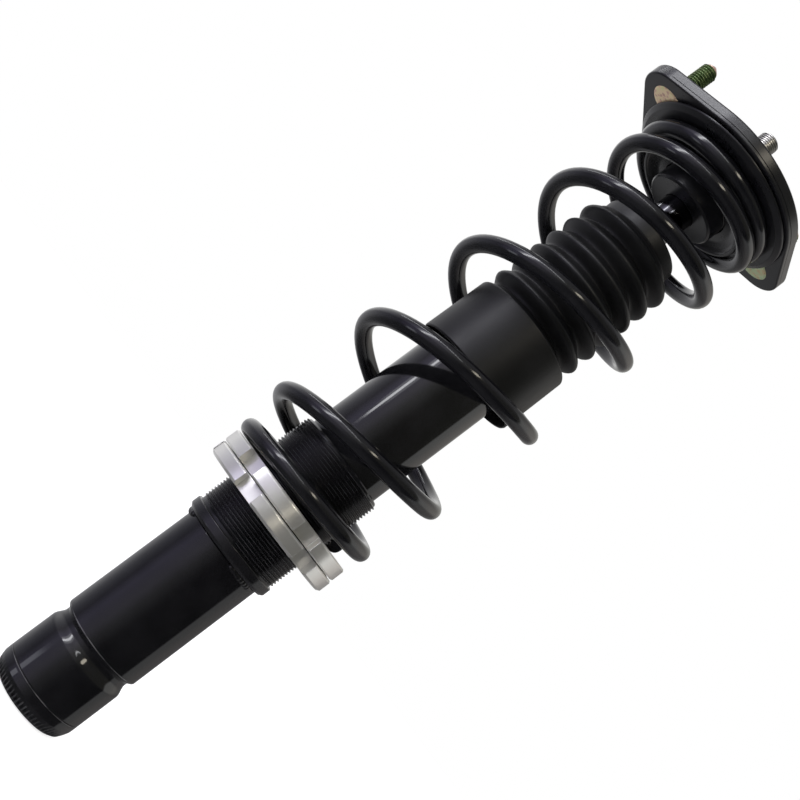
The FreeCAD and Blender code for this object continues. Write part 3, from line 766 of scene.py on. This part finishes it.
def spring_point(angle):
    """Centre of the wire after a right-hand turn of so many degrees from +X."""
    rise = ramp_area(angle, *SPRING["rise"]) - ramp_area(angle, *SPRING["fall"])
    height = SPRING["base"] + SPRING["wire"] + SPRING["pitch"] * rise / 360.0
    belly = smooth(ramp(angle, *SPRING["swell"])) * (1 - smooth(ramp(angle, *SPRING["shrink"])))
    radius = SPRING["end_radius"] + belly * (SPRING["belly_radius"] - SPRING["end_radius"])
    turn = math.radians(angle)
    height += SPRING["wire"] - wire_at(angle)
    radius += SPRING["wire"] - wire_at(angle)
    return Vector((radius * math.cos(turn) - SPRING["bow"] * belly, radius * math.sin(turn), height))


def coil_spring():
    """Coated wire swept along the coil; the top end tapers against its seat, both ends are rounded."""
    first, last = SPRING["first"], SPRING["taper_end"]
    count = round((last - first) / 360.0 * COIL_STEPS)
    angles = [first + (last - first) * step / count for step in range(count + 1)]
    stations = [(angle, wire_at(angle)) for angle in angles]
    for end, inward in ((0, 1), (-1, -1)):
        angle = angles[end]
        wire = wire_at(angle)
        tips = [(angle, wire - WIRE_LIP), (angle + inward * 0.25, wire - WIRE_LIP * 0.3)]
        if end == 0:
            stations = tips + [(angle + 0.6, wire)] + stations[1:]
        else:
            stations = stations[:-1] + [(angle - 0.6, wire)] + tips[::-1]
    build = bmesh.new()
    rings = []
    for angle, size in stations:
        centre = spring_point(angle)
        along = (spring_point(angle + 0.05) - spring_point(angle - 0.05)).normalized()
        side = along.cross(Vector((0, 0, 1))).normalized()
        up = side.cross(along)
        rings.append([build.verts.new(centre + size * (side * math.cos(TAU * step / WIRE_STEPS)
                                                       + up * math.sin(TAU * step / WIRE_STEPS)))
                      for step in range(WIRE_STEPS)])
    skin(build, rings)
    build.faces.new(rings[0])
    build.faces.new(rings[-1])
    piece = finish_piece("coil_spring_wound", build, None, "coil_spring", "spring_black")
    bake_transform(piece)


# ---------------------------------------------------------------- boot

BOOT = {
    "skirt_top": 298.5, "skirt_radius": 32.8, "skirt_neck": 32.4, "folds": 6,
    "first": 307.6, "pitch": 11.45, "peak": 31.8, "root": 26.7,
    "crown_base": 370.0, "crown_radius": 24.6, "hole": 10.2}
BOOT_STEPS = 176
FOLD_STEPS = 20
FOLD_FULLNESS = 0.85
BOOT_WALL = 0.9
BOOT_SAG = 0.22
HEM_DROP = 1.2
# (height, lean towards +X)
LEAN = ((262.0, 2.3), (298.5, 2.3), (307.6, 2.0), (364.9, 1.5), (379.0, 1.0))


def lean_at(height):
    """How far the boot hangs towards +X at a height."""
    return float(np.interp(height, [row[0] for row in LEAN], [row[1] for row in LEAN]))


def fold_outline(inset):
    """One side of the bellows: rounded lobes between roots, moved in by a wall."""
    points = []
    depth, half = BOOT["peak"] - BOOT["root"], BOOT["pitch"] / 2
    for number in range(BOOT["folds"]):
        centre = BOOT["first"] + number * BOOT["pitch"]
        for step in range(FOLD_STEPS + (number == BOOT["folds"] - 1)):
            share = -1 + 2 * step / FOLD_STEPS
            bulge = (0.5 + 0.5 * math.cos(math.pi * share)) ** FOLD_FULLNESS
            points.append((BOOT["root"] + depth * bulge - inset, centre + half * share))
    return points


def dust_boot():
    """Moulded boot that leans a little, with a rolled hem and six soft folds."""
    base, top = heights("dust_boot")
    base -= HEM_DROP
    radius, neck, wall = BOOT["skirt_radius"], BOOT["skirt_neck"], BOOT_WALL
    crown = BOOT["crown_radius"]

    outside = rounded([(radius - 0.6, base, 0.4), (radius, base + 0.9, 0.8),
                       (neck, BOOT["skirt_top"], 1.5), (BOOT["root"] + 1.4, BOOT["skirt_top"] + 0.6, 0.8),
                       (BOOT["root"], BOOT["skirt_top"] + 2.6, 0.8), (0, BOOT["skirt_top"] + 2.6, 0)])[:-1]
    outside += fold_outline(0.0)
    outside += rounded([(0, BOOT["crown_base"] + 0.9, 0), (crown, BOOT["crown_base"] + 1.0, 1.0),
                        (crown, top - 0.05, 1.4),
                        (BOOT["hole"], top - 0.05, 0.4), (BOOT["hole"], top - wall, 0)])[1:]
    inside = [(crown - wall, top - wall), (crown - wall, BOOT["crown_base"] + 2.0)]
    inside += fold_outline(wall)[::-1]
    inside += [(neck - wall, BOOT["skirt_top"] - 0.8),
               (radius - wall, base + 0.6), (radius - wall + 0.3, base)]

    def hang(spot, _, angle):
        far = math.hypot(spot.x, spot.y)
        folds_only = ramp(spot.z, 300, 320) * (1 - ramp(spot.z, 355, 372))
        scale = 1 + BOOT_SAG * math.sin(3 * angle + spot.z * 0.05) * folds_only / max(far, 1.0)
        clear_of_rod = ramp(far, 10.4, 20.0)
        clear_of_tube = 1 - 0.75 * ramp(spot.z, 297, 300) * (1 - ramp(far, 26.0, 31.0))
        lean = lean_at(spot.z) * clear_of_rod * clear_of_tube
        return Vector((spot.x * scale + lean, spot.y * scale, spot.z))

    build = bmesh.new()
    lathe(build, outside + inside, BOOT_STEPS, hang)
    piece = finish_piece("dust_boot_moulded", build, "mount", "dust_boot", "boot_polymer")
    weigh_normals(piece)


# ---------------------------------------------------------------- perch and mount

def upper_perch():
    """Pressed seat: a rolled outer edge, a pilot lip inside the coil, and a bearing shelf."""
    base, top = heights("upper_perch")
    seat, pilot, pilot_bore, outer = 424.0, 35.0, 33.2, box_mm("upper_perch")[1][0]
    shelf_base, shelf_top, shelf_bore = 414.5, 417.0, 22.1
    corners = [
        (shelf_bore, shelf_base + 1.0, 0.4), (27.0, shelf_base + 1.2, 6.0),
        (pilot_bore - 2.2, shelf_base, 1.8),
        (pilot_bore - 0.7, base + 1.0, 0.7), (pilot_bore, base, 0.6), (pilot - 0.1, base, 0.6),
        (pilot, base + 2.0, 1.1), (pilot, seat, 1.4), (outer - 3.0, seat, 1.5), (outer, seat + 1.7, 1.2),
        (outer, top - 0.1, 0.4), (pilot_bore, top, 0.5), (pilot_bore, shelf_top, 0.5),
        (shelf_bore, shelf_top, 0.6)]
    turned_piece("upper_perch_pressed", corners, "perch", "upper_perch", "mount_black",
                 FINE_ROUND_STEPS)


PLATE = {"disc": 53.5, "lobe": 17.75, "track": 50.0, "turn": 18.6, "bore": 28.0, "stud_hole": 5.7}
PLATE_ROUNDS = (0.9, 1.3)
SEAM = {"height": 2.2, "half_width": 0.2, "depth": 0.3}
LOBE_STEPS = 32
DISC_STEPS = 40
EDGE_STEPS = 5


def plate_outline(inset):
    """A disc joined by tangent sides to a small lobe at each end; a negative inset cuts the disc alone."""
    disc, lobe, track = PLATE["disc"] - abs(inset), PLATE["lobe"] - max(inset, 0.0), PLATE["track"]
    lean = math.acos((PLATE["disc"] - PLATE["lobe"]) / track)
    spans = ((track, lobe, -lean, lean, LOBE_STEPS), (0.0, disc, lean, math.pi - lean, DISC_STEPS),
             (-track, lobe, math.pi - lean, math.pi + lean, LOBE_STEPS),
             (0.0, disc, math.pi + lean, TAU - lean, DISC_STEPS))
    turn = math.radians(PLATE["turn"])
    points = []
    for centre, radius, start, stop, steps in spans:
        for step in range(steps + 1):
            angle = start + (stop - start) * step / steps
            points.append(turned(centre + radius * math.cos(angle), radius * math.sin(angle), turn))
    return points


def stud_spots():
    return [turned(side * PLATE["track"], 0.0, math.radians(PLATE["turn"])) for side in (1, -1)]


def round_levels(base, top, low_round, high_round):
    """(height, inset) levels of a slab whose rims are rounded over, the low rim's first."""
    angles = [math.pi / 2 * step / EDGE_STEPS for step in range(EDGE_STEPS + 1)]
    low = [(base + low_round * (1 - math.cos(angle)), low_round * (1 - math.sin(angle))) for angle in angles]
    high = [(top - high_round * (1 - math.sin(angle)), high_round * (1 - math.cos(angle)))
            for angle in angles]
    return low, high


def mount_plate():
    """A cast flange with a fine parting seam round the disc."""
    base, top = heights("mount_plate")
    holes = [(0.0, 0.0, PLATE["bore"])] + [(x, y, PLATE["stud_hole"]) for x, y in stud_spots()]
    seam = base + SEAM["height"]
    groove = [(seam - SEAM["half_width"], 0.0), (seam, -SEAM["depth"]), (seam + SEAM["half_width"], 0.0)]
    low, high = round_levels(base, top, *PLATE_ROUNDS)
    build = bmesh.new()
    slab(build, plate_outline, low + groove + high, holes)
    piece = finish_piece("mount_plate_cast", build, "mount", "mount_plate", "mount_black")
    weigh_normals(piece)


STUD = {"radius": 5.0, "root": 1.15, "pitch": 1.5, "head": 10.3, "shoulder": 5.6, "thread_top": 456.5}
STUD_THREAD_STEPS = 64


def mount_studs():
    """Two pressed-in studs: coined head, rolled thread and a pointed dog tip."""
    base, plate_top = heights("mount_plate")
    tip = heights("mount_studs")[1]
    head, radius, thread_top = STUD["head"], STUD["radius"], STUD["thread_top"]
    head_top, neck_top = base + 0.6, plate_top + 0.5
    outlines = [
        rounded([(0.0, base - 0.05, 0), (1.1, base - 0.05, 0), (1.3, base - 0.3, 0.1),
                 (8.9, base - 0.33, 0.5), (head - 0.3, base - 0.1, 0.3), (head - 0.25, head_top, 0),
                 (0.0, head_top, 0)]),
        rounded([(0.0, head_top, 0), (STUD["shoulder"], head_top, 0),
                 (STUD["shoulder"], plate_top + 0.1, 0.3), (radius - 0.5, neck_top, 0),
                 (0.0, neck_top, 0)]),
        rounded([(0.0, thread_top - 0.5, 0), (radius - 1.1, thread_top - 0.5, 0),
                 (radius - 1.2, thread_top + 0.6, 0.4), (1.0, tip - 0.02, 0.8), (0.0, tip, 0)])]

    def limit(height):
        return radius - max(0.0, height - thread_top + 1.0) * 0.9

    build = bmesh.new()
    for x, y in stud_spots():
        def at(spot, _radius, _angle, x=x, y=y):
            return spot + Vector((x, y, 0))
        lathe(build, outlines[0], HOLE_STEPS, at)
        lathe(build, outlines[1], HOLE_STEPS, at)
        helix_thread(build, plate_top + 0.2, thread_top, radius, STUD["root"], STUD["pitch"],
                     limit=limit, steps=STUD_THREAD_STEPS, centre=(x, y))
        lathe(build, outlines[2], HOLE_STEPS, at)
    finish_piece("mount_studs_plated", build, "mount", "mount_studs", "zinc_yellow")


def mount_rubber():
    base, top = heights("mount_rubber")
    sleeve, bore = box_mm("mount_sleeve")[1][0], PLATE["bore"]
    dip = top - 0.9
    corners = [(sleeve, base, 0.3), (bore, base, 0.3), (bore, dip, 0.4), (bore - 2.2, dip, 0.8),
               (23.5, top, 1.2), (19.0, dip, 1.4), (sleeve + 1.5, top, 0.8), (sleeve, top - 0.1, 0)]
    turned_piece("mount_rubber_bonded", corners, "mount", "mount_rubber", "mount_rubber")


ROD = {"radius": 10.0, "end": 6.0, "root": 0.65, "pitch": 1.25, "low_shoulder": 218.0, "shoulder": 418.0,
       "thread_base": 436.0, "low_thread_top": 203.0, "run_out": 1.2}
ROD_STEPS = 128
ROD_THREAD_STEPS = 64
SLIP = 0.1


def mount_neck():
    """Black cup with a turned lower face and a fine line round its side."""
    base, top = heights("mount_neck")
    radius = box_mm("mount_neck")[1][0]
    line, line_depth = top - 11.9, 0.35
    socket, cup, cup_floor = ROD["radius"] + SLIP, 13.2, ROD["shoulder"] + 2
    corners = [(socket, base, 0.3), (radius - 1.0, base, 0.5), (radius, base + 1.0, 0.6),
               (radius, line - 0.5, 0.15), (radius - line_depth, line - 0.2, 0.1),
               (radius - line_depth, line + 0.2, 0.1), (radius, line + 0.5, 0.15), (radius, top, 0.3),
               (cup, top, 0.3), (cup, cup_floor, 0.5), (ROD["end"] + SLIP, cup_floor, 0),
               (ROD["end"] + SLIP, ROD["shoulder"], 0), (socket, ROD["shoulder"], 0)]
    turned_piece("mount_neck_turned", corners, "mount", "mount_neck", "mount_black")


def piston_rod():
    """Hard chromed rod with a turned-down threaded end in the mount and another in the piston."""
    base, top = heights("piston_rod")
    radius, end, core = ROD["radius"], ROD["end"], ROD["end"] - 0.02
    low_top, low_shoulder, shoulder = ROD["low_thread_top"], ROD["low_shoulder"], ROD["shoulder"]
    build = bmesh.new()
    lathe(build, rounded([
        (0.0, low_top, 0), (core, low_top, 0), (core, low_shoulder, 0), (radius - 0.6, low_shoulder, 0),
        (radius, low_shoulder + 0.6, 0.3), (radius, shoulder - 0.5, 0.3), (radius - 0.5, shoulder, 0),
        (core, shoulder, 0.3), (core, ROD["thread_base"], 0), (0.0, ROD["thread_base"], 0)]), ROD_STEPS)

    def low_limit(height):
        return end - max(0.0, base + ROD["run_out"] - height)

    def high_limit(height):
        return end - max(0.0, height - top + ROD["run_out"])

    for low, high, limit in ((base, low_top, low_limit), (ROD["thread_base"], top, high_limit)):
        helix_thread(build, low, high, end, ROD["root"], ROD["pitch"], limit=limit, steps=ROD_THREAD_STEPS)
    finish_piece("piston_rod_ground", build, "mount", "piston_rod", "rod_chrome")


def top_washer():
    base, top = heights("top_washer")
    radius, bore = box_mm("top_washer")[1][0], ROD["end"] + SLIP
    corners = [(bore, base, 0.2), (radius, base, 0.5), (radius, top - 0.1, 0.8), (bore, top, 0.3)]
    turned_piece("top_washer_plated", corners, "mount", "top_washer", "nut_zinc")


NUT_CORNER = 10.97
# (distance in from each end, how far the corners are turned back)
NUT_CHAMFER = ((0.0, 0.9), (0.5, 0.35), (1.2, 0.0))


def nut_outline(inset):
    """A hexagon with its corners cut by a circle."""
    flat = NUT_CORNER * math.cos(math.pi / 6)
    points = []
    for step in range(HOLE_STEPS):
        angle = TAU * step / HOLE_STEPS
        bay = (angle + math.pi / 6) % (math.pi / 3) - math.pi / 6
        radius = min(flat / math.cos(bay), NUT_CORNER - inset - 0.15)
        points.append((radius * math.cos(angle), radius * math.sin(angle)))
    return points


def rod_nut():
    """Hexagon nut whose corners are turned back at both ends."""
    base, top = heights("rod_nut")
    levels = [(base + rise, inset) for rise, inset in NUT_CHAMFER]
    levels += [(top - rise, inset) for rise, inset in NUT_CHAMFER[::-1]]
    build = bmesh.new()
    slab(build, nut_outline, levels, [(0.0, 0.0, ROD["end"] + 0.02)])
    piece = finish_piece("rod_nut_plated", build, "mount", "rod_nut", "nut_zinc")
    soften(piece, 0.12)


# ---------------------------------------------------------------- studio

CAMERA_PLACE = Vector((-7.6, -544.9, 154.2)) * MM
CAMERA_FORWARD = Vector((0.0, 0.991, 0.134))
CAMERA_RIGHT = Vector((0.598, -0.1075, 0.794))
CAMERA_LENS = 49.5


def make_camera():
    """A 36 mm wide frame, rolled so that the strut lies from lower left to upper right."""
    forward = CAMERA_FORWARD.normalized()
    right = (CAMERA_RIGHT - forward * CAMERA_RIGHT.dot(forward)).normalized()
    level = forward.cross(Vector((0, 0, 1))).normalized()
    upright = forward.to_track_quat("-Z", "Y")
    roll = math.atan2(-right.dot(level.cross(forward)), right.dot(level))
    data = bpy.data.cameras.new("camera")
    data.lens = CAMERA_LENS
    data.clip_start = 0.01
    camera = bpy.data.objects.new("camera", data)
    bpy.context.collection.objects.link(camera)
    camera.location = CAMERA_PLACE
    camera.rotation_mode = "QUATERNION"
    camera.rotation_quaternion = Quaternion(forward, roll) @ upright
    bpy.context.scene.camera = camera


# (azimuth in degrees, colour): 0 is towards the camera, + towards +X.
STUDIO_WALLS = (
    (-180, (0.50, 0.50, 0.51)), (-135, (0.55, 0.55, 0.58)), (-108, (0.34, 0.34, 0.40)),
    (-88, (0.20, 0.19, 0.25)), (-68, (0.50, 0.47, 0.68)), (-36, (0.50, 0.48, 0.58)),
    (-18, (0.26, 0.26, 0.27)), (4, (0.06, 0.06, 0.06)), (14, (0.02, 0.02, 0.02)),
    (92, (0.022, 0.022, 0.022)), (96, (0.58, 0.59, 0.59)), (124, (0.40, 0.38, 0.37)),
    (145, (0.20, 0.19, 0.19)), (168, (0.22, 0.22, 0.22)), (180, (0.50, 0.50, 0.51)))
WALL_GAIN_ABOVE = 1.7
WALL_GLOW_ABOVE = (0.11, 0.108, 0.082)
CEILING = (0.30, 0.30, 0.31)
GROUND = (0.10, 0.10, 0.105)
# The upward component of a direction where each one starts and ends taking over.
WALL_BRIGHTENS = (-0.04, 0.22)
CEILING_STARTS = (0.45, 0.95)
GROUND_STARTS = (-0.28, -0.75)
WHITE = (1.0, 1.0, 1.0, 1.0)


def make_world():
    """White to the camera; to the object a studio with a dark side and a bright wall behind."""
    world = bpy.data.worlds.new("studio")
    bpy.context.scene.world = world
    nodes = Tree(world)
    nodes.tree.nodes.clear()
    place = nodes.split(nodes.add("ShaderNodeTexCoord").outputs["Generated"])

    def between(limits):
        return nodes.remap(place["Z"], 0.0, 1.0, *limits, interpolation_type="SMOOTHSTEP")

    azimuth = nodes.combine("ARCTAN2", place["X"], nodes.combine("MULTIPLY", place["Y"], -1.0))
    share = nodes.remap(azimuth, 0.0, 1.0, -math.pi, math.pi)
    walls = nodes.ramp(share, *[((degrees + 180) / 360, colour) for degrees, colour in STUDIO_WALLS])
    brighter = nodes.add("ShaderNodeVectorMath", {
        0: walls, 1: (WALL_GAIN_ABOVE,) * 3, 2: WALL_GLOW_ABOVE}, operation="MULTIPLY_ADD")
    room = nodes.mix(between(WALL_BRIGHTENS), walls, brighter.outputs["Vector"])
    room = nodes.mix(between(CEILING_STARTS), room, CEILING)
    room = nodes.mix(between(GROUND_STARTS), room, GROUND)
    around = nodes.add("ShaderNodeBackground", {"Color": room})
    plain = nodes.add("ShaderNodeBackground", {"Color": WHITE})
    seen = nodes.add("ShaderNodeLightPath").outputs["Is Camera Ray"]
    both = nodes.add("ShaderNodeMixShader", {
        "Fac": seen, 1: around.outputs["Background"], 2: plain.outputs["Background"]})
    nodes.add("ShaderNodeOutputWorld", {"Surface": both.outputs["Shader"]})


STUDIO_CENTRE = Vector((0.0, 0.0, 0.23))


def strip_light(name, azimuth, elevation, distance, width, tall, radiance, colour, shape="RECTANGLE"):
    """A soft light that faces the strut; azimuth 0 is towards the camera, + towards +X."""
    around, up = math.radians(azimuth), math.radians(elevation)
    away = Vector((math.sin(around) * math.cos(up), -math.cos(around) * math.cos(up), math.sin(up)))
    data = bpy.data.lights.new(name, "AREA")
    data.shape = shape
    data.size, data.size_y = width, tall
    area = width * tall * (math.pi / 4 if shape == "ELLIPSE" else 1.0)
    data.energy = radiance * math.pi * area
    data.color = colour
    light = bpy.data.objects.new(name, data)
    bpy.context.collection.objects.link(light)
    light.location = STUDIO_CENTRE + away * distance
    light.rotation_mode = "QUATERNION"
    light.rotation_quaternion = (-away).to_track_quat("-Z", "Y")
    light.visible_camera = False


FLOOR_RADIUS = 4.0
FLOOR_STEPS = 96
FLOOR_GAP = 0.0005
FLOOR_GLOW = 0.85


def make_floor():
    """A large pale floor, lit almost to white, that the object stands on."""
    build = bmesh.new()
    build.faces.new([build.verts.new((x, y, 0)) for x, y in circle(FLOOR_RADIUS, FLOOR_STEPS)])
    mesh = bpy.data.meshes.new("floor")
    build.to_mesh(mesh)
    build.free()
    floor = bpy.data.objects.new("floor", mesh)
    bpy.context.collection.objects.link(floor)
    floor.location = (0, 0, cad_box[0][2] - FLOOR_GAP)
    floor.visible_glossy = False
    nodes = Look("pale_floor")
    patches = nodes.noise(60, detail=3)
    nodes.colour(nodes.ramp(patches, (0.3, (0.80, 0.80, 0.80)), (0.7, (0.84, 0.84, 0.84))))
    nodes.set("Roughness", 0.9)
    nodes.set("Emission Color", WHITE)
    nodes.set("Emission Strength", FLOOR_GLOW)
    mesh.materials.append(nodes.material)


def make_studio():
    bpy.context.scene.view_settings.view_transform = "Standard"
    make_camera()
    make_world()
    make_floor()
    strip_light("key_strip", -57, 24, 1.3, 0.13, 0.9, 9.0, (0.97, 0.98, 1.0))
    strip_light("key_glow", -57, 24, 1.35, 0.42, 0.85, 1.5, (0.95, 0.97, 1.0))
    strip_light("over_strip", -62, 42, 1.2, 2.2, 0.06, 8.0, (0.96, 0.98, 1.0))
    strip_light("low_strip", -66, -30, 1.3, 0.26, 0.34, 1.6, (0.90, 0.93, 1.0))
    strip_light("top_warm", 10, 34, 1.2, 0.17, 0.46, 8.0, (1.0, 0.92, 0.76), "ELLIPSE")


# ---------------------------------------------------------------- assembly

def main():
    make_looks()
    paint_cad_nodes()
    strut_tube()
    base_cap()
    threaded_sleeve()
    weld_beads()
    for node in RING_TURNS:
        spanner_ring(node)
    coil_spring()
    dust_boot()
    upper_perch()
    mount_plate()
    mount_studs()
    mount_rubber()
    mount_neck()
    piston_rod()
    top_washer()
    rod_nut()
    make_studio()


main()
